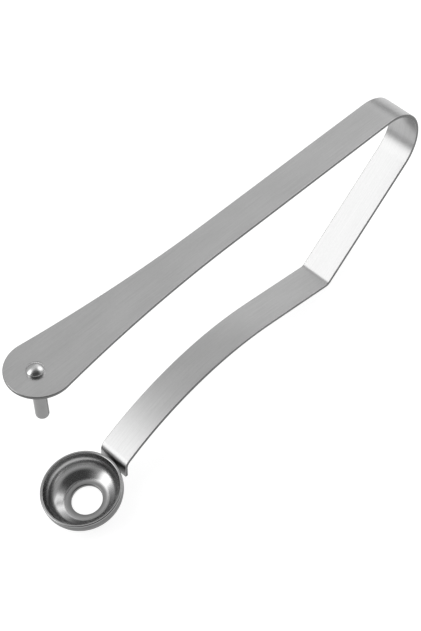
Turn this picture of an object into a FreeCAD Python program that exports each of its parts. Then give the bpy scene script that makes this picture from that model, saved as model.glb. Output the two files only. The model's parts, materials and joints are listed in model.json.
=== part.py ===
import FreeCAD, Part
import os
from collections import namedtuple
from math import asin, atan2, cos, pi, radians, sin, tan

# An olive pitter: one steel strip bent round a springy bow, with a headed punch riveted
# through the end of its upper arm and a funnel cup welded to the end of its lower arm.
# Millimetres and degrees. X runs from the cup to the bow, Y across the strip, Z up.
# The origin is the middle of the cup's foot: the tool stands on that foot and on its heel.

# The strip
strip_width = 12.0
strip_thickness = 1.1
strip_rounding = 0.25          # along its edges

# The funnel cup
cup_radius = 13.8
cup_height = 9.3
cup_wall = 1.0
collar_height = 6.0            # from the rim down to where the wall would meet the cone
foot_radius = 7.5              # where the cone meets the flat foot
pit_hole_radius = 5.3
rim_rounding = 0.4
hole_rounding = 0.5            # of the pit hole's upper edge
shoulder_bend = 6.0            # collar to cone, inner radius, which makes the cone a bowl
foot_bend = 0.8                # cone to foot, inner radius

# The tab that hangs from the lower arm beside the cup, and its weld
tab_length = 3.8
tab_bend = 2.55                # inner radius
tab_slope = 75.0               # climbing beside the bowl
tab_gap = 0.2                  # between the tab and the cup, filled by the weld nugget
nugget_radius = 0.9

# The lower arm, from the cup to the bow
height_over_rim = 1.3          # of its top face, where it starts to bend down to the tab
cup_end_slope = 18.47          # climbing away from the cup
arch_radius = 105.0            # of its top face
heel_slope = 19.1              # falling to the heel
heel_bend = 2.0                # inner radius
riser_slope = 28.6             # climbing from the heel
riser_length = 47.4

# The bow. Squeezing bends the riser and the bow, and one hinge in the bow does the same for
# the arms: it is placed so that the punch comes down through the middle of the pit hole.
bow_radius = 14.4              # inside
hinge_turn = 38.0              # of the bow, from its lower end to the hinge
closing_angle = 25.5

# The upper arm and its paddle end
arm_slope = 11.4               # climbing towards the punch
paddle_radius = 10.9
paddle_offset = 1.5            # of its round end's middle from the punch, towards the bow
flare_length = 74.0            # from that middle to where the strip's edges are parallel

# The punch
rod_radius = 2.15
rod_length = 20.4
tip_rounding = 1.1
neck_radius = 1.6              # where it passes through the paddle
head_radius = 2.85
head_height = 2.0
head_side = 0.9                # the upright part of the head, under its dome
head_rounding = 0.3

# Two points closer than this are the same point
same_place = 0.01

Vec = FreeCAD.Vector
across = Vec(0, 1, 0)
up = Vec(0, 0, 1)
origin = Vec(0, 0, 0)


# The strip is followed along the face that is inside the bow: the lower arm's top and the
# upper arm's underside. The metal lies on the right of the direction of travel.
Station = namedtuple("Station", "x z heading")
Step = namedtuple("Step", "start middle end curved")


def straight(start, length):
    """A straight step along the strip."""
    def reached(part):
        heading = radians(start.heading)
        x = start.x + part * length * cos(heading)
        z = start.z + part * length * sin(heading)
        return Station(x, z, start.heading)
    return Step(start, reached(1 / 2), reached(1), False)


def bend(start, radius, turn):
    """A bent step: turn is positive to the left, and radius is that of the followed face."""
    side = radius if turn > 0 else -radius
    centre_x = start.x - side * sin(radians(start.heading))
    centre_z = start.z + side * cos(radians(start.heading))

    def reached(part):
        heading = start.heading + part * turn
        x = centre_x + side * sin(radians(heading))
        z = centre_z - side * cos(radians(heading))
        return Station(x, z, heading)
    return Step(start, reached(1 / 2), reached(1), True)


def turned(station, angle):
    return Station(station.x, station.z, station.heading + angle)


def point_at(station, depth):
    """The point this far behind the followed face."""
    heading = radians(station.heading)
    return Vec(station.x + depth * sin(heading), 0, station.z - depth * cos(heading))


def edge_at(step, depth):
    """The step's edge this far behind the followed face."""
    start = point_at(step.start, depth)
    end = point_at(step.end, depth)
    if step.curved:
        return Part.Arc(start, point_at(step.middle, depth), end).toShape()
    return Part.LineSegment(start, end).toShape()


def end_edge(station):
    return Part.LineSegment(point_at(station, 0), point_at(station, strip_thickness)).toShape()


def strip_along(steps):
    """The length of strip that follows these steps, with its long edges rounded."""
    stations = (steps[0].start, steps[-1].end)
    edges = [edge_at(step, depth) for depth in (0, strip_thickness) for step in steps]
    edges += [end_edge(station) for station in stations]
    side = Part.Face(Part.Wire(Part.__sortEdges__(edges)))
    side.translate(-across * strip_width / 2)
    solid = side.extrude(across * strip_width)
    cuts = [point_at(station, strip_thickness / 2) for station in stations]
    return solid.makeFillet(strip_rounding, long_edges(solid, cuts))


def long_edges(solid, cuts):
    """The edges along both sides of the strip, and not those across its cut ends."""
    def is_long(edge):
        middle = edge.BoundBox.Center
        level = Vec(middle.x, 0, middle.z)
        in_side = edge.BoundBox.YLength < same_place
        return in_side and all(level.distanceToPoint(cut) > same_place for cut in cuts)
    return [edge for edge in solid.Edges if is_long(edge)]


# The cone's lean from upright settles both of the cup's bends
collar_foot = cup_height - collar_height
cone_lean = atan2(cup_radius - foot_radius, collar_foot)
shoulder_spread = tan(cone_lean / 2)
foot_spread = tan((pi / 2 - cone_lean) / 2)
shoulder_radius = shoulder_bend + cup_wall
shoulder_centre = Vec(cup_radius - shoulder_radius, 0, collar_foot + shoulder_radius * shoulder_spread)


def tab_top():
    """The tab's upper end: high enough for the arm to clear the rim, and beside the bowl."""
    slope = radians(tab_slope)
    bend_height = tab_top_radius * (cos(radians(cup_end_slope)) - cos(slope))
    z = cup_height + height_over_rim - bend_height
    from_centre = shoulder_radius + tab_gap + (z - shoulder_centre.z) * cos(slope)
    return Station(shoulder_centre.x + from_centre / sin(slope), z, tab_slope)


# The walk along the lower arm: up the tab, over its bend and the arch, and down to the heel
tab_top_radius = tab_bend + strip_thickness
tab = straight(straight(tab_top(), -tab_length).end, tab_length)
tab_turn = bend(tab.end, tab_top_radius, cup_end_slope - tab_slope)
arch = bend(tab_turn.end, arch_radius, -cup_end_slope - heel_slope)

# The heel's underside just touches the table, which settles the length of the run down to it
heel_start_z = heel_bend + strip_thickness - heel_bend * cos(radians(heel_slope))
heel_run = straight(arch.end, (arch.end.z - heel_start_z) / sin(radians(heel_slope)))
heel = bend(heel_run.end, heel_bend, heel_slope + riser_slope)

riser = straight(heel.end, riser_length)
bow_turn = 180 - riser_slope - arm_slope
lower_bow = bend(riser.end, bow_radius, hinge_turn)
upper_bow = bend(lower_bow.end, bow_radius, bow_turn - hinge_turn)


def closing_arm_length():
    """The arm's length from the bow to the punch, so that the rod of the closed tool passes
    through the middle of the pit hole."""
    start = bend(turned(lower_bow.end, closing_angle), bow_radius, bow_turn - hinge_turn).end
    heading = radians(start.heading)
    return (cup_wall / 2 - start.z) * sin(heading) - start.x * cos(heading)


arm_length = closing_arm_length()
punch_station = straight(upper_bow.end, arm_length).end
arm_place = FreeCAD.Placement(point_at(punch_station, 0), FreeCAD.Rotation(across, arm_slope))


def lower_arm():
    return strip_along([tab, tab_turn, arch, heel_run, heel, riser, lower_bow])


def upper_arm():
    """The rest of the bow, and the straight arm with its paddle."""
    return strip_along([upper_bow]).fuse(flat_arm().transformed(arm_place.toMatrix())).removeSplitter()


def flat_arm():
    """The arm drawn flat, with the punch's axis at the origin."""
    half = strip_width / 2
    to_flare = flare_length ** 2 + half ** 2
    flare_radius = (to_flare - paddle_radius ** 2) / (2 * paddle_radius - strip_width)
    middle = Vec(paddle_offset, 0, 0)
    flare_centre = Vec(flare_length, half + flare_radius, 0)
    steepest = atan2(-flare_centre.y, -flare_centre.x)
    middle_angle = (steepest - pi / 2) / 2
    flare_start = middle + Vec(flare_length, half, 0)
    to_flare_middle = flare_radius * Vec(cos(middle_angle), sin(middle_angle), 0)
    flare_middle = middle + flare_centre + to_flare_middle
    flare_end = middle + paddle_radius / flare_centre.Length * flare_centre
    tip = middle - Vec(paddle_radius, 0, 0)
    corner = Vec(arm_length, half, 0)
    outline = []
    for mirror in (1, -1):
        points = [Vec(p.x, p.y * mirror, 0) for p in (corner, flare_start, flare_middle, flare_end)]
        outline.append(Part.LineSegment(points[0], points[1]).toShape())
        outline.append(Part.Arc(points[1], points[2], points[3]).toShape())
    opposite_end = Vec(flare_end.x, -flare_end.y, 0)
    outline.append(Part.Arc(flare_end, tip, opposite_end).toShape())
    outline.append(Part.LineSegment(corner, Vec(arm_length, -half, 0)).toShape())
    blank = Part.Face(Part.Wire(Part.__sortEdges__(outline))).extrude(up * strip_thickness)

    def is_rim(edge):
        box = edge.BoundBox
        return box.ZLength < same_place and box.XLength > same_place
    blank = blank.makeFillet(strip_rounding, [edge for edge in blank.Edges if is_rim(edge)])
    rivet_hole = Part.makeCylinder(neck_radius, strip_thickness, origin, up)
    return blank.cut(rivet_hole)


def turned_solid(outline):
    """The solid of revolution about Z of a closed outline in the XZ plane."""
    return Part.Face(Part.Wire(Part.__sortEdges__(outline))).revolve(origin, up, 360)


def round_circle(solid, radius, height, rounding):
    """Rounds the circular edge of this radius at this height."""
    def is_circle(edge):
        box = edge.BoundBox
        level = box.ZLength < same_place and abs(box.Center.z - height) < same_place
        return level and abs(box.XLength / 2 - radius) < same_place
    return solid.makeFillet(rounding, [edge for edge in solid.Edges if is_circle(edge)])


def punch():
    """The pin in one piece: a domed head on the paddle, a neck through it and the rod below."""
    head_top = strip_thickness + head_height
    side_top = strip_thickness + head_side
    dome_height = head_height - head_side
    dome_radius = (head_radius ** 2 + dome_height ** 2) / (2 * dome_height)
    half_angle = asin(head_radius / dome_radius) / 2
    dome_middle_z = head_top - dome_radius * (1 - cos(half_angle))
    corners = [
        Vec(0, 0, -rod_length), Vec(rod_radius, 0, -rod_length), Vec(rod_radius, 0, 0),
        Vec(neck_radius, 0, 0), Vec(neck_radius, 0, strip_thickness),
        Vec(head_radius, 0, strip_thickness), Vec(head_radius, 0, side_top)]
    outline = [Part.LineSegment(a, b).toShape() for a, b in zip(corners, corners[1:])]
    dome_middle = Vec(dome_radius * sin(half_angle), 0, dome_middle_z)
    crown = Vec(0, 0, head_top)
    outline.append(Part.Arc(corners[-1], dome_middle, crown).toShape())
    outline.append(Part.LineSegment(crown, corners[0]).toShape())
    pin = turned_solid(outline)
    pin = round_circle(pin, rod_radius, -rod_length, tip_rounding)
    pin = round_circle(pin, head_radius, side_top, head_rounding)
    return pin.transformed(arm_place.toMatrix())


def cup():
    """The funnel cup, of even wall, open at the top and with its pit hole in the foot."""
    inner_radius = cup_radius - cup_wall
    inner_shoulder = collar_foot + cup_wall * shoulder_spread
    inner_foot = foot_radius - cup_wall * foot_spread
    corners = [
        Vec(pit_hole_radius, 0, 0), Vec(foot_radius, 0, 0), Vec(cup_radius, 0, collar_foot),
        Vec(cup_radius, 0, cup_height), Vec(inner_radius, 0, cup_height),
        Vec(inner_radius, 0, inner_shoulder), Vec(inner_foot, 0, cup_wall),
        Vec(pit_hole_radius, 0, cup_wall)]
    closed = corners + corners[:1]
    outline = [Part.LineSegment(a, b).toShape() for a, b in zip(closed, closed[1:])]
    shell = turned_solid(outline)
    shell = round_circle(shell, cup_radius, collar_foot, shoulder_radius)
    shell = round_circle(shell, inner_radius, inner_shoulder, shoulder_bend)
    shell = round_circle(shell, foot_radius, 0, foot_bend + cup_wall)
    shell = round_circle(shell, inner_foot, cup_wall, foot_bend)
    for radius in (cup_radius, inner_radius):
        shell = round_circle(shell, radius, cup_height, rim_rounding)
    return round_circle(shell, pit_hole_radius, cup_wall, hole_rounding)


def weld_nugget():
    """The spot weld between the flat tab and the bowl's round wall, where they are nearest."""
    slope = radians(tab_slope)
    above = point_at(tab.end, 0) - shoulder_centre
    place = straight(tab.end, -above.dot(Vec(cos(slope), 0, sin(slope)))).end
    outward = Vec(sin(slope), 0, -cos(slope))
    depth = tab_gap + cup_wall / 2
    return Part.makeCylinder(nugget_radius, depth, point_at(place, -depth), outward).cut(cup())


nodes = {
    "lower_arm": lower_arm(),
    "cup": cup(),
    "weld_nugget": weld_nugget(),
    "upper_arm": upper_arm(),
    "punch": punch(),
}

os.makedirs("parts", exist_ok=True)
for name, solid in nodes.items():
    solid.exportStep(f"parts/{name}.step")
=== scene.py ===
import json
from math import atan2, cos, pi, radians, sin, tan

import bmesh
import bpy
from mathutils import Matrix, Vector


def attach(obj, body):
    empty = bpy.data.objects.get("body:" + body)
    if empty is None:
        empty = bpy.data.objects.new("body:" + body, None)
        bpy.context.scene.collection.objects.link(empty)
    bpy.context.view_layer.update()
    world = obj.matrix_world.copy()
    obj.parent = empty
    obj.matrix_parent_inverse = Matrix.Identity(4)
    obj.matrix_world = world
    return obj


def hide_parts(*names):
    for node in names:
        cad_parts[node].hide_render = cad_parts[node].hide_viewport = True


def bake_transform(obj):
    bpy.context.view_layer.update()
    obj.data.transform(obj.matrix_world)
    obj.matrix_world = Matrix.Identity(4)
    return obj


# An olive pitter of bent spring steel. Metres and degrees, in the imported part's frame: X from
# the cup to the bow, Y across the strip, Z up, and the middle of the cup's foot at the origin.

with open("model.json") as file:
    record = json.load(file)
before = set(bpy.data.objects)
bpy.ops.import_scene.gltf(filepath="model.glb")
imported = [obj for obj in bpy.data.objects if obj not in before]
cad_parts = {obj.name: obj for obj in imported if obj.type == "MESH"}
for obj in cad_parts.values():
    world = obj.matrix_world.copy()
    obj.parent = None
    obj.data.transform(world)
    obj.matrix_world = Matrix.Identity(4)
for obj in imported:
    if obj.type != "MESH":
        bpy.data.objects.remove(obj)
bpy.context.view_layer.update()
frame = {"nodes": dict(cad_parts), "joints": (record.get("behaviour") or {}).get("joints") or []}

MM = 0.001

# The strip, in the order in which it is followed: from the punch over the bow to the cup
STRIP_WIDTH = 12 * MM
STRIP_THICKNESS = 1.1 * MM
STRIP_ROUNDING = 0.25 * MM
PADDLE_RADIUS = 10.9 * MM
PADDLE_OFFSET = 1.5 * MM
FLARE_LENGTH = 74 * MM
ARM_SLOPE = 11.4
BOW_RADIUS = 14.4 * MM
RISER_SLOPE = 28.6
RISER_LENGTH = 47.4 * MM
HEEL_BEND = 2 * MM
HEEL_SLOPE = 19.1
ARCH_RADIUS = 105 * MM
CUP_END_SLOPE = 18.47
HEIGHT_OVER_RIM = 1.3 * MM
TAB_BEND = 2.55 * MM
TAB_SLOPE = 75
TAB_GAP = 0.2 * MM
TAB_LENGTH = 3.8 * MM

# The cup
CUP_RADIUS = 13.8 * MM
CUP_HEIGHT = 9.3 * MM
CUP_WALL = 1 * MM
COLLAR_HEIGHT = 6 * MM
FOOT_RADIUS = 7.5 * MM
PIT_HOLE_RADIUS = 5.3 * MM
SHOULDER_BEND = 6 * MM
FOOT_BEND = 3 * MM
RIM_ROUNDING = 0.4 * MM
HOLE_ROUNDING = 0.5 * MM

# The punch
ROD_RADIUS = 2.15 * MM
ROD_LENGTH = 20.4 * MM
TIP_ROUNDING = 1.1 * MM
HEAD_RADIUS = 2.85 * MM
HEAD_HEIGHT = 2 * MM
HEAD_SIDE = 0.9 * MM
HEAD_ROUNDING = 0.3 * MM

# How finely the round stretches are cut
BOW_STEPS = 72
ARCH_STEPS = 40
SMALL_BEND_STEPS = 16
PLAN_STEPS = 48
TURNED_STEPS = 144
EDGE_SEGMENTS = 4
SUPPORT = 0.25 * MM            # a short face beside each bend keeps its shading off the flats
SAME_PLACE = 0.001 * MM

# How a face is told from its neighbours, by a part of its normal
FLAT_FACE = 0.8
SIDE_FACE = 0.6
OUTWARD_FACE = 0.3
SHARP_FROM = 40                # degrees between two faces

ACROSS = Vector((0, 1, 0))
UP = Vector((0, 0, 1))
ORIGIN = Vector((0, 0, 0))


# Shaping

def spun(mesh, geometry, centre, axis, angle, steps, whole=False):
    """Spins edges or points round an axis and gives back the last copy of them."""
    return bmesh.ops.spin(
        mesh, geom=geometry, cent=centre, axis=axis, dvec=ORIGIN, angle=radians(angle),
        steps=steps, use_merge=whole)["geom_last"]


def rounded(mesh, corner, radius, turn):
    """Rounds a corner of a flat outline that turns by this many degrees."""
    bmesh.ops.bevel(
        mesh, geom=[corner], offset=radius * tan(radians(turn) / 2), offset_type="OFFSET",
        affect="VERTICES", segments=EDGE_SEGMENTS + 2, profile=0.5, material=-1)


def outline(mesh, points):
    """A flat face in the XZ plane with these (x, z) corners, and its corners."""
    corners = [mesh.verts.new((x, 0, z)) for x, z in points]
    mesh.faces.new(corners)
    return corners


def turned(mesh):
    """Turns the outline's edges into a closed skin round Z, and drops what lies on the axis."""
    bmesh.ops.delete(mesh, geom=mesh.faces[:], context="FACES_ONLY")
    on_axis = [e for e in mesh.edges if all(abs(v.co.x) < SAME_PLACE for v in e.verts)]
    bmesh.ops.delete(mesh, geom=on_axis, context="EDGES")
    spun(mesh, mesh.verts[:] + mesh.edges[:], ORIGIN, UP, 360, TURNED_STEPS, whole=True)
    bmesh.ops.remove_doubles(mesh, verts=mesh.verts[:], dist=SAME_PLACE)


def piece(name, mesh, materials):
    """The finished object: normals outward, smooth apart from its sharp corners."""
    bmesh.ops.recalc_face_normals(mesh, faces=mesh.faces[:])
    data = bpy.data.meshes.new(name)
    mesh.to_mesh(data)
    mesh.free()
    for material in materials:
        data.materials.append(material)
    data.shade_smooth()
    data.set_sharp_from_angle(angle=radians(SHARP_FROM))
    made = bpy.data.objects.new(name, data)
    bpy.context.scene.collection.objects.link(made)
    flats = made.modifiers.new("flats_stay_flat", "WEIGHTED_NORMAL")
    flats.keep_sharp = True
    return made


# The strip is followed along the face that is inside the bow

class Place:
    """A place on the strip's inner face, and the heading there."""

    def __init__(self, x, z, heading):
        self.x, self.z, self.heading = x, z, heading

    def ahead(self, length):
        step = self.direction() * length
        return Place(self.x + step.x, self.z + step.z, self.heading)

    def direction(self):
        return Vector((cos(radians(self.heading)), 0, sin(radians(self.heading))))

    def point(self):
        return Vector((self.x, 0, self.z))

    def centre(self, radius, turn):
        """The middle of a bend: on the left of the heading where turn is positive."""
        left = Vector((-sin(radians(self.heading)), 0, cos(radians(self.heading))))
        return self.point() + left * (radius if turn > 0 else -radius)

    def bent(self, radius, turn):
        middle = self.centre(radius, turn)
        arm = Matrix.Rotation(radians(-turn), 3, ACROSS) @ (self.point() - middle)
        return Place(middle.x + arm.x, middle.z + arm.z, self.heading + turn)


def lower_arm_walk():
    """The straight run before the heel, and the bow's upper end, as the strip is bent from
    the tab's foot."""
    lean = atan2(CUP_RADIUS - FOOT_RADIUS, CUP_HEIGHT - COLLAR_HEIGHT)
    shoulder_radius = SHOULDER_BEND + CUP_WALL
    shoulder_x = CUP_RADIUS - shoulder_radius
    shoulder_z = CUP_HEIGHT - COLLAR_HEIGHT + shoulder_radius * tan(lean / 2)
    slope = radians(TAB_SLOPE)
    tab_top_radius = TAB_BEND + STRIP_THICKNESS
    z = CUP_HEIGHT + HEIGHT_OVER_RIM - tab_top_radius * (cos(radians(CUP_END_SLOPE)) - cos(slope))
    from_centre = shoulder_radius + TAB_GAP + (z - shoulder_z) * cos(slope)
    place = Place(shoulder_x + from_centre / sin(slope), z, TAB_SLOPE)
    place = place.bent(tab_top_radius, CUP_END_SLOPE - TAB_SLOPE)
    place = place.bent(ARCH_RADIUS, -CUP_END_SLOPE - HEEL_SLOPE)
    heel_start = HEEL_BEND + STRIP_THICKNESS - HEEL_BEND * cos(radians(HEEL_SLOPE))
    run = (place.z - heel_start) / sin(radians(HEEL_SLOPE))
    place = place.ahead(run).bent(HEEL_BEND, HEEL_SLOPE + RISER_SLOPE)
    return run, place.ahead(RISER_LENGTH).bent(BOW_RADIUS, 180 - RISER_SLOPE - ARM_SLOPE)


def arm_length(start, joint):
    """From the bow to the punch, whose rod passes through the pit hole when closed."""
    closing = Matrix.Rotation(radians(-joint["range_deg"][1]), 3, ACROSS)
    hinge = Vector(joint["pos_m"])
    closed = hinge + closing @ (start.point() - hinge)
    heading = radians(start.heading + joint["range_deg"][1])
    return (CUP_WALL / 2 - closed.z) * sin(heading) - closed.x * cos(heading)


HEEL_RUN, BOW_END = lower_arm_walk()
ARM_LENGTH = arm_length(BOW_END, frame["joints"][0])
PUNCH_PLACE = BOW_END.ahead(ARM_LENGTH)
ARM_PLACE = Matrix.Translation(PUNCH_PLACE.point()) @ Matrix.Rotation(radians(ARM_SLOPE), 4, ACROSS)


class Strip:
    """The strip's skin while it is drawn out, and how far along it each point lies."""

    def __init__(self):
        self.mesh = bmesh.new()
        self.along = self.mesh.verts.layers.float.new("along")
        self.sheared_and_shaded = self.mesh.faces.layers.float.new("sheared_edge_and_shade")
        self.place = Place(BOW_END.x, BOW_END.z, BOW_END.heading - 180)
        self.distance = ARM_LENGTH

    def flat_arm(self):
        """The straight arm with its paddle, cut from flat and with its edges rounded."""
        mesh = self.mesh
        half = STRIP_WIDTH / 2
        to_flare = FLARE_LENGTH ** 2 + half ** 2
        flare_radius = (to_flare - PADDLE_RADIUS ** 2) / (2 * PADDLE_RADIUS - STRIP_WIDTH)
        middle = Vector((PADDLE_OFFSET, 0, 0))
        flare_centre = middle + Vector((FLARE_LENGTH, half + flare_radius, 0))
        meeting = atan2(half + flare_radius, FLARE_LENGTH) * 180 / pi
        point = [mesh.verts.new(middle - Vector((PADDLE_RADIUS, 0, 0)))]
        point = spun(mesh, point, middle, UP, meeting - 180, PLAN_STEPS)
        point = spun(mesh, point, flare_centre, UP, 90 - meeting, PLAN_STEPS)
        corner = mesh.verts.new((ARM_LENGTH, half, 0))
        mesh.edges.new((point[0], corner))
        bmesh.ops.mirror(
            mesh, geom=mesh.verts[:] + mesh.edges[:], axis="Y", merge_dist=SAME_PLACE)
        ends = [v for v in mesh.verts if v.co.x > ARM_LENGTH - SAME_PLACE]
        mesh.edges.new(ends)
        bmesh.ops.contextual_create(mesh, geom=mesh.edges[:])
        top = bmesh.ops.extrude_face_region(mesh, geom=mesh.faces[:])["geom"]
        raised = [v for v in top if isinstance(v, bmesh.types.BMVert)]
        bmesh.ops.translate(mesh, verts=raised, vec=UP * STRIP_THICKNESS)
        rim = [
            e for e in mesh.edges
            if abs(e.verts[0].co.z - e.verts[1].co.z) < SAME_PLACE
            and min(v.co.x for v in e.verts) < ARM_LENGTH - SAME_PLACE]
        bmesh.ops.bevel(
            mesh, geom=rim, offset=STRIP_ROUNDING, offset_type="OFFSET", affect="EDGES",
            segments=EDGE_SEGMENTS, profile=0.5, material=-1)
        cap = [f for f in mesh.faces if f.calc_center_median().x > ARM_LENGTH - SAME_PLACE]
        bmesh.ops.delete(mesh, geom=cap, context="FACES_ONLY")
        for cut in (ARM_LENGTH - SUPPORT, ARM_LENGTH / 2, FLARE_LENGTH + PADDLE_OFFSET):
            bmesh.ops.bisect_plane(
                mesh, geom=mesh.verts[:] + mesh.edges[:] + mesh.faces[:],
                plane_co=(cut, 0, 0), plane_no=(1, 0, 0))
        for vert in mesh.verts:
            vert[self.along] = vert.co.x
        for face in mesh.faces:
            face.normal_update()
            face[self.sheared_and_shaded] = float(abs(face.normal.z) < FLAT_FACE)
        mesh.transform(ARM_PLACE)
        self.ring = [
            e for e in mesh.edges
            if all(v[self.along] > ARM_LENGTH - SAME_PLACE for v in e.verts)]

    def ring_geometry(self):
        return list({v for e in self.ring for v in e.verts}) + self.ring

    def draw_out(self, length):
        """A straight stretch, with a short face at each end."""
        for part in (SUPPORT, length - 2 * SUPPORT, SUPPORT):
            made = bmesh.ops.extrude_edge_only(self.mesh, edges=self.ring)["geom"]
            verts = [g for g in made if isinstance(g, bmesh.types.BMVert)]
            bmesh.ops.translate(self.mesh, verts=verts, vec=self.place.direction() * part)
            self.ring = [
                g for g in made if isinstance(g, bmesh.types.BMEdge)
                and all(v in verts for v in g.verts)]
            self.place = self.place.ahead(part)
            self.distance += part
            for vert in verts:
                vert[self.along] = self.distance

    def bend(self, radius, turn, steps):
        """A bend of this radius on the inner face: to the right where turn is negative."""
        centre = self.place.centre(radius, turn)
        drawn = set(self.mesh.verts)
        last = spun(self.mesh, self.ring_geometry(), centre, ACROSS, -turn, steps)
        began = self.place.point() - centre
        for vert in set(self.mesh.verts) - drawn:
            arm = vert.co - centre
            angle = atan2(
                began.x * arm.z - began.z * arm.x, began.x * arm.x + began.z * arm.z)
            vert[self.along] = self.distance + abs(angle) * radius
        self.ring = [g for g in last if isinstance(g, bmesh.types.BMEdge)]
        self.place = self.place.bent(radius, turn)
        self.distance += radius * radians(abs(turn))

    def close(self):
        bmesh.ops.contextual_create(self.mesh, geom=self.ring)
        flat = self.mesh.loops.layers.uv.new("along_strip")
        for face in self.mesh.faces:
            if min(v[self.along] for v in face.verts) > ARM_LENGTH - SAME_PLACE:
                face.normal_update()
                face[self.sheared_and_shaded] = float(abs(face.normal.y) > SIDE_FACE)
            for loop in face.loops:
                loop[flat].uv = (loop.vert[self.along], loop.vert.co.y)


def bent_strip(steel):
    """The whole strip in one piece: arm, bow, riser, heel, arch and tab."""
    strip = Strip()
    strip.flat_arm()
    strip.bend(BOW_RADIUS, RISER_SLOPE + ARM_SLOPE - 180, BOW_STEPS)
    strip.draw_out(RISER_LENGTH)
    strip.bend(HEEL_BEND, -HEEL_SLOPE - RISER_SLOPE, SMALL_BEND_STEPS)
    strip.draw_out(HEEL_RUN)
    strip.bend(ARCH_RADIUS, HEEL_SLOPE + CUP_END_SLOPE, ARCH_STEPS)
    strip.bend(TAB_BEND + STRIP_THICKNESS, TAB_SLOPE - CUP_END_SLOPE, SMALL_BEND_STEPS)
    strip.draw_out(TAB_LENGTH)
    strip.close()
    return piece("strip", strip.mesh, [steel])


def funnel_cup(inside, painted_shade_outer):
    """The drawn cup: collar, bowl, flat foot and pit hole, of one even wall."""
    mesh = bmesh.new()
    collar_foot = CUP_HEIGHT - COLLAR_HEIGHT
    lean = atan2(CUP_RADIUS - FOOT_RADIUS, collar_foot)
    shoulder_turn = lean * 180 / pi
    foot_turn = 90 - shoulder_turn
    inner_radius = CUP_RADIUS - CUP_WALL
    inner_shoulder = collar_foot + CUP_WALL * tan(lean / 2)
    inner_foot = FOOT_RADIUS - CUP_WALL * tan((pi / 2 - lean) / 2)
    corners = outline(mesh, [
        (PIT_HOLE_RADIUS, 0), (FOOT_RADIUS, 0), (CUP_RADIUS, collar_foot),
        (CUP_RADIUS, CUP_HEIGHT), (inner_radius, CUP_HEIGHT), (inner_radius, inner_shoulder),
        (inner_foot, CUP_WALL), (PIT_HOLE_RADIUS, CUP_WALL)])
    rounded(mesh, corners[1], FOOT_BEND + CUP_WALL, foot_turn)
    rounded(mesh, corners[2], SHOULDER_BEND + CUP_WALL, shoulder_turn)
    rounded(mesh, corners[3], RIM_ROUNDING, 90)
    rounded(mesh, corners[4], RIM_ROUNDING, 90)
    rounded(mesh, corners[5], SHOULDER_BEND, shoulder_turn)
    rounded(mesh, corners[6], FOOT_BEND, foot_turn)
    rounded(mesh, corners[7], HOLE_ROUNDING, 90)
    turned(mesh)
    bmesh.ops.recalc_face_normals(mesh, faces=mesh.faces[:])
    # Faces looking out or down take the second material, whose dark grey is painted shade
    for face in mesh.faces:
        middle = face.calc_center_median()
        outward = Vector((middle.x, middle.y, 0)).normalized()
        below_rim = middle.z < CUP_HEIGHT - RIM_ROUNDING
        looks_out = face.normal.dot(outward) > OUTWARD_FACE and below_rim
        looks_down = face.normal.z < -OUTWARD_FACE
        face.material_index = int(looks_out or looks_down)
    return piece("funnel_cup", mesh, [inside, painted_shade_outer])


def punch_pin(head_steel, painted_shade_rod_steel):
    """The pin: a domed head on the paddle and the rod below it, in one piece."""
    mesh = bmesh.new()
    head_top = STRIP_THICKNESS + HEAD_HEIGHT
    rise = HEAD_HEIGHT - HEAD_SIDE
    dome_radius = (HEAD_RADIUS ** 2 + rise ** 2) / (2 * rise)
    dome_angle = atan2(HEAD_RADIUS, dome_radius - rise) * 180 / pi
    crown = mesh.verts.new((0, 0, head_top))
    dome_centre = Vector((0, 0, head_top - dome_radius))
    shoulder = spun(mesh, [crown], dome_centre, ACROSS, dome_angle, EDGE_SEGMENTS * 3)[0]
    chain = [shoulder]
    for x, z in ((HEAD_RADIUS, STRIP_THICKNESS), (ROD_RADIUS, STRIP_THICKNESS),
                 (ROD_RADIUS, -ROD_LENGTH), (0, -ROD_LENGTH)):
        chain.append(mesh.verts.new((x, 0, z)))
    for a, b in zip(chain + [crown], chain[1:] + [crown]):
        if a is not b:
            mesh.edges.new((a, b))
    bmesh.ops.contextual_create(mesh, geom=mesh.edges[:])
    rounded(mesh, chain[3], TIP_ROUNDING, 90)
    rounded(mesh, shoulder, HEAD_ROUNDING, 90 - dome_angle)
    turned(mesh)
    for face in mesh.faces:
        face.material_index = int(face.calc_center_median().z < STRIP_THICKNESS / 2)
    mesh.transform(ARM_PLACE)
    return piece("punch_pin", mesh, [head_steel, painted_shade_rod_steel])


# Finishes: base colours are greys, and the scales of patterns are in waves per metre

STRIP_GREY = 0.46
STRIP_GREY_SPREAD = 0.035
# The strip's cut side faces: a darker grey, painted shade
SHEARED_PAINTED_SHADE_GREY = 0.17
BRUSHED_STREAKS = (60, 3200, 1)          # along the strip, across it
ROLLED_CLOUDS = (45, 130, 1)
ROLLED_GRAIN = (900, 2600, 1)
STRIP_ROUGHNESS = 0.26
SHEARED_ROUGHNESS = 0.15                 # more than on the flats
BRUSHED_DEPTH = 0.008 * MM

CUP_GREY = 0.47
CUP_GREY_SPREAD = 0.05
# Round the pit hole: painted shade, a darker grey in the bottom of the bowl
HOLE_PAINTED_SHADE_GREY = 0.24
PIERCED_ROUGHNESS = 0.1                  # more than on the polished bowl
TRIMMED_GREY = 0.34
# Painted shade: the cup's outer wall and underside get a far darker grey than its bowl
CUP_OUTER_PAINTED_SHADE_GREY = 0.16
DRAWN_RINGS = 3500
SMUDGES = 160
CUP_ROUGHNESS = 0.16
DRAWN_DEPTH = 0.004 * MM

DULL_GRAIN = 2500
DULL_CLOUDS = 220
DULL_ROUGHNESS = 0.35
DULL_DEPTH = 0.006 * MM
WELD_GREY = 0.35

HEAD_GREY = 0.56
HEAD_ROUGHNESS = 0.2
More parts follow.
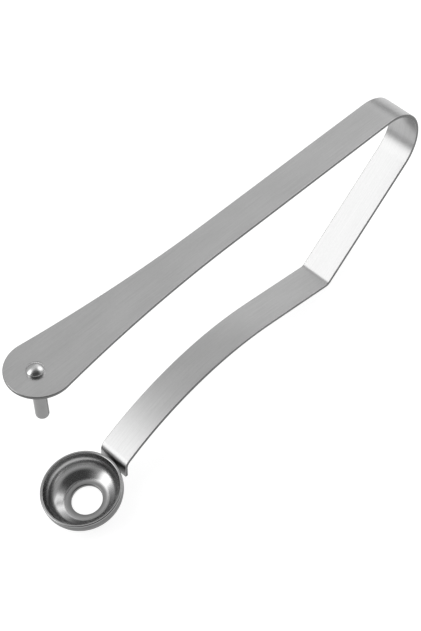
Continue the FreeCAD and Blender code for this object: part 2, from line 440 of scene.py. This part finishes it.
# The rod under the paddle: a darker grey than the head, painted shade
ROD_PAINTED_SHADE_GREY = 0.27
ROD_ROUGHNESS = 0.3
TURNED_RINGS = (300, 300, 6000)          # across the pin, along it
TURNED_CLOUDS = 400
TURNED_DEPTH = 0.003 * MM


class Value:
    """A number that varies over a surface, with the sums that the finishes need."""

    def __init__(self, finish, socket):
        self.finish, self.socket = finish, socket

    def __add__(self, other):
        return self.finish.sum_of("ADD", self, other)

    def __sub__(self, other):
        return self.finish.sum_of("SUBTRACT", self, other)

    def __rsub__(self, other):
        return self.finish.sum_of("SUBTRACT", other, self)

    def __mul__(self, other):
        return self.finish.sum_of("MULTIPLY", self, other)

    __radd__ = __add__
    __rmul__ = __mul__


class Finish:
    """A material or the surroundings, built up node by node."""

    def __init__(self, owner):
        owner.use_nodes = True
        self.owner = owner
        self.nodes = owner.node_tree.nodes
        self.links = owner.node_tree.links
        self.nodes.clear()

    def node(self, kind, settings, inputs):
        """A node with its settings made and its inputs set or linked."""
        made = self.nodes.new(kind)
        for setting, value in settings.items():
            setattr(made, setting, value)
        for name, value in inputs.items():
            if isinstance(value, Value):
                self.links.new(value.socket, made.inputs[name])
            else:
                made.inputs[name].default_value = value
        return made

    def out(self, node, name=0):
        return Value(self, node.outputs[name])

    def here(self):
        """The place on the piece, in metres."""
        return self.out(self.node("ShaderNodeTexCoord", {}, {}), "Object")

    def sum_of(self, operation, first, second):
        return self.out(self.node(
            "ShaderNodeMath", {"operation": operation}, {0: first, 1: second}))

    def scaled(self, vector, by):
        return self.out(self.node(
            "ShaderNodeVectorMath", {"operation": "MULTIPLY"}, {0: vector, 1: by}))

    def noise(self, vector, scale=1, detail=2, roughness=0.5):
        """Even cloudy noise, from 0 to 1."""
        return self.out(self.node("ShaderNodeTexNoise", {}, {
            "Vector": vector, "Scale": scale, "Detail": detail, "Roughness": roughness}))

    def between(self, value, low, high, out_low=0, out_high=1):
        """The value as it eases from one level to another."""
        return self.out(self.node(
            "ShaderNodeMapRange", {"interpolation_type": "SMOOTHSTEP"}, {
                "Value": value, "From Min": low, "From Max": high, "To Min": out_low,
                "To Max": out_high}))

    def blend(self, factor, first, second):
        """One colour to another, by the Mix node's colour sockets."""
        return self.out(self.node("ShaderNodeMix", {"data_type": "RGBA"}, {
            0: factor, 6: first, 7: second}), 2)

    def metal(self, colour, roughness, height, bump_distance):
        """Ends a material as bare metal."""
        bump = self.node("ShaderNodeBump", {}, {
            "Height": height, "Distance": bump_distance, "Strength": 1})
        shader = self.node("ShaderNodeBsdfPrincipled", {}, {
            "Base Color": colour, "Roughness": roughness, "Metallic": 1,
            "Normal": self.out(bump)})
        self.node("ShaderNodeOutputMaterial", {}, {"Surface": self.out(shader)})
        return self.owner


def grey(level):
    return (level, level, level, 1)


def brushed_strip_steel():
    """Rolled and brushed along the strip, and rougher on its cut sides, whose darker grey is
    painted shade.
    """
    steel = Finish(bpy.data.materials.new("brushed_strip_steel"))
    along = steel.out(steel.node("ShaderNodeUVMap", {"uv_map": "along_strip"}, {}))
    sheared_and_shaded = steel.out(
        steel.node("ShaderNodeAttribute", {"attribute_name": "sheared_edge_and_shade"}, {}), "Fac")
    streaks = steel.noise(steel.scaled(along, BRUSHED_STREAKS), detail=4, roughness=0.65)
    clouds = steel.noise(steel.scaled(along, ROLLED_CLOUDS), detail=3)
    grain = steel.noise(steel.scaled(along, ROLLED_GRAIN), detail=3, roughness=0.6)
    lightness = steel.between(streaks * 0.5 + clouds * 0.3 + grain * 0.2, 0.35, 0.65)
    flats = steel.blend(
        lightness, grey(STRIP_GREY - STRIP_GREY_SPREAD), grey(STRIP_GREY + STRIP_GREY_SPREAD))
    # Painted shade on the side faces, which are also rougher
    colour = steel.blend(sheared_and_shaded, flats, grey(SHEARED_PAINTED_SHADE_GREY))
    roughness = (
        STRIP_ROUGHNESS + streaks * 0.08 + clouds * 0.06 + sheared_and_shaded * SHEARED_ROUGHNESS)
    return steel.metal(colour, roughness, streaks * 0.6 + grain * 0.4, BRUSHED_DEPTH)


def drawn_cup_steel():
    """Satin inside, with faint rings and smudges, and duller at the trimmed rim; rougher round
    the hole, where a darker grey is painted shade in the bottom of the bowl."""
    steel = Finish(bpy.data.materials.new("drawn_cup_steel"))
    here = steel.here()
    radius = steel.out(
        steel.node("ShaderNodeVectorMath", {"operation": "LENGTH"}, {
            0: steel.scaled(here, (1, 1, 0))}), "Value")
    height = steel.out(steel.node("ShaderNodeSeparateXYZ", {}, {"Vector": here}), "Z")
    profile = steel.out(
        steel.node("ShaderNodeCombineXYZ", {}, {"X": radius, "Y": height}))
    rings = steel.noise(profile, DRAWN_RINGS)
    smudges = steel.noise(here, SMUDGES, detail=4, roughness=0.6)
    # Round the hole: rougher, and darker by painted shade
    hole_shade_and_dull = steel.between(
        radius, PIT_HOLE_RADIUS + HOLE_ROUNDING, FOOT_RADIUS + HOLE_ROUNDING, 1, 0)
    trimmed = steel.between(height, CUP_HEIGHT - 2 * RIM_ROUNDING, CUP_HEIGHT - RIM_ROUNDING)
    polished = steel.blend(
        smudges, grey(CUP_GREY - CUP_GREY_SPREAD), grey(CUP_GREY + CUP_GREY_SPREAD))
    colour = steel.blend(hole_shade_and_dull, polished, grey(HOLE_PAINTED_SHADE_GREY))
    colour = steel.blend(trimmed, colour, grey(TRIMMED_GREY))
    roughness = CUP_ROUGHNESS + rings * 0.06 + smudges * 0.08 + hole_shade_and_dull * PIERCED_ROUGHNESS
    return steel.metal(colour, roughness, rings * 0.5 + smudges * 0.5, DRAWN_DEPTH)


def dull_steel(name, level):
    """As the die or the weld left it: unpolished, with a fine grain."""
    steel = Finish(bpy.data.materials.new(name))
    grain = steel.noise(steel.here(), DULL_GRAIN, detail=3)
    clouds = steel.noise(steel.here(), DULL_CLOUDS, detail=3)
    colour = steel.blend(clouds, grey(level * 0.8), grey(level * 1.2))
    return steel.metal(colour, DULL_ROUGHNESS + grain * 0.1, grain, DULL_DEPTH)


def turned_steel(name, level, smoothest):
    """Turned: fine rings round the pin."""
    steel = Finish(bpy.data.materials.new(name))
    rings = steel.noise(steel.scaled(steel.here(), TURNED_RINGS))
    clouds = steel.noise(steel.here(), TURNED_CLOUDS, detail=3)
    colour = steel.blend(clouds, grey(level * 0.92), grey(level * 1.08))
    return steel.metal(colour, smoothest + rings * 0.08, rings, TURNED_DEPTH)


# Floor, surroundings, light and camera

FLOOR_SIDE = 6.0
FLOOR_GAP = 0.1 * MM           # below the part, so that the two don't share a face
FLOOR_GREY = 0.36
FLOOR_GLOW = 0.86
FLOOR_ROUGHNESS = 0.9
FRONT_LEVEL = 0.48
SOFT_LIGHTS = (                # direction, cosines between which it eases in, and its level
    ((0, 1, 0), -0.35, 0.25, 0.84),
    ((0.79, 0.47, 0.39), 0.95, 0.99, 1.05),
    ((-0.60, 0.50, 0.62), 0.66, 0.88, 1.35),
    ((-0.60, 0.50, 0.62), 0.82, 0.95, 2.8),
    ((0, 1, 0), 0.57, 0.77, 0.6),
    ((0, -1, 0), -0.38, -0.15, 0.48),
    ((0.79, -0.06, 0.59), 0.91, 0.98, 2.1),
    ((-0.20, -0.45, 0.87), 0.66, 0.90, 0.07),
)
HORIZON_LEVEL = 0.3
HORIZON_TOP = (0.10, 0.36)     # the heights between which it gives way
LOW_FRONT_LEVEL = 0.6
LOW_FRONT_SIDES = (0.1, 0.5)   # the cosines to the front between which it eases in
LOW_FRONT_TOP = (0.42, 0.7)    # the heights between which it gives way
CAMERA_PLACE = (-0.09589, -0.27664, 0.52894)
CAMERA_VIEW = (0.274285, 0.467656, -0.840277)
CAMERA_UP = (0.669657, 0.534223, 0.515912)
CAMERA_SENSOR = 36             # mm, along the picture's height
CAMERA_LENS = 104.15


def seen_ray(finish):
    """1 for what the camera sees straight, in metal or through glass, and 0 for light."""
    path = finish.node("ShaderNodeLightPath", {}, {})
    seen = finish.out(path, "Is Camera Ray") + finish.out(path, "Is Glossy Ray")
    return finish.between(seen + finish.out(path, "Is Transmission Ray"), 0, 1)


def floor():
    mesh = bmesh.new()
    bmesh.ops.create_grid(mesh, x_segments=1, y_segments=1, size=FLOOR_SIDE / 2)
    bmesh.ops.translate(mesh, verts=mesh.verts[:], vec=-UP * FLOOR_GAP)
    paint = Finish(bpy.data.materials.new("pale_floor"))
    glow = paint.blend(seen_ray(paint), grey(0), grey(FLOOR_GLOW))
    matt = paint.node("ShaderNodeBsdfPrincipled", {}, {
        "Base Color": grey(FLOOR_GREY), "Roughness": FLOOR_ROUGHNESS,
        "Specular IOR Level": 0, "Emission Color": glow, "Emission Strength": 1})
    paint.node("ShaderNodeOutputMaterial", {}, {"Surface": paint.out(matt)})
    made = piece("floor", mesh, [paint.owner])


def towards(finish, view, direction, low, high):
    """0 far from a direction and 1 near it, easing between two cosines."""
    unit = Vector(direction).normalized()
    near = finish.out(finish.node("ShaderNodeVectorMath", {"operation": "DOT_PRODUCT"}, {
        0: view, 1: tuple(unit)}), "Value")
    return finish.between(near, low, high)


def surroundings():
    """A plain studio: a large soft light behind on the left, grey round it, darker in front
    and towards the horizon."""
    room = Finish(bpy.data.worlds.new("studio"))
    bpy.context.scene.world = room.owner
    view = room.out(room.node("ShaderNodeTexCoord", {}, {}), "Generated")
    level = grey(FRONT_LEVEL)
    for direction, low, high, there in SOFT_LIGHTS:
        level = room.blend(towards(room, view, direction, low, high), level, grey(there))
    over_horizon = towards(room, view, UP, *HORIZON_TOP)
    level = room.blend(over_horizon, grey(HORIZON_LEVEL), level)
    in_front = towards(room, view, -ACROSS, *LOW_FRONT_SIDES)
    low_down = 1 - towards(room, view, UP, *LOW_FRONT_TOP)
    level = room.blend(in_front * low_down, level, grey(LOW_FRONT_LEVEL))
    path = room.node("ShaderNodeLightPath", {}, {})
    seen = room.blend(room.out(path, "Is Camera Ray"), level, grey(1))
    light = room.node("ShaderNodeBackground", {}, {"Color": seen, "Strength": 1})
    room.node("ShaderNodeOutputWorld", {}, {"Surface": room.out(light)})


def camera():
    data = bpy.data.cameras.new("photo_view")
    data.sensor_width = CAMERA_SENSOR
    data.lens = CAMERA_LENS
    made = bpy.data.objects.new("photo_view", data)
    view, upright = Vector(CAMERA_VIEW), Vector(CAMERA_UP)
    turn = Matrix((view.cross(upright), upright, -view)).transposed()
    made.matrix_world = Matrix.Translation(CAMERA_PLACE) @ turn.to_4x4()
    bpy.context.scene.collection.objects.link(made)
    bpy.context.scene.camera = made


# The object

strip = bent_strip(brushed_strip_steel())
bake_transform(strip)
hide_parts("lower_arm", "upper_arm")

# The cup's outside: dull steel, with its dark grey painted shade
cup = funnel_cup(drawn_cup_steel(), dull_steel("dull_cup_outer_painted_shade", CUP_OUTER_PAINTED_SHADE_GREY))
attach(cup, "cup_arm")
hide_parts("cup")

# The rod's darker grey is painted shade
punch = punch_pin(
    turned_steel("polished_head_steel", HEAD_GREY, HEAD_ROUGHNESS),
    turned_steel("satin_rod_painted_shade_steel", ROD_PAINTED_SHADE_GREY, ROD_ROUGHNESS))
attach(punch, "punch_arm")
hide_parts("punch")

nugget = frame["nodes"]["weld_nugget"]
nugget.data.materials.clear()
nugget.data.materials.append(dull_steel("weld_metal", WELD_GREY))

floor()
surroundings()
camera()
bpy.context.scene.view_settings.view_transform = "Standard"
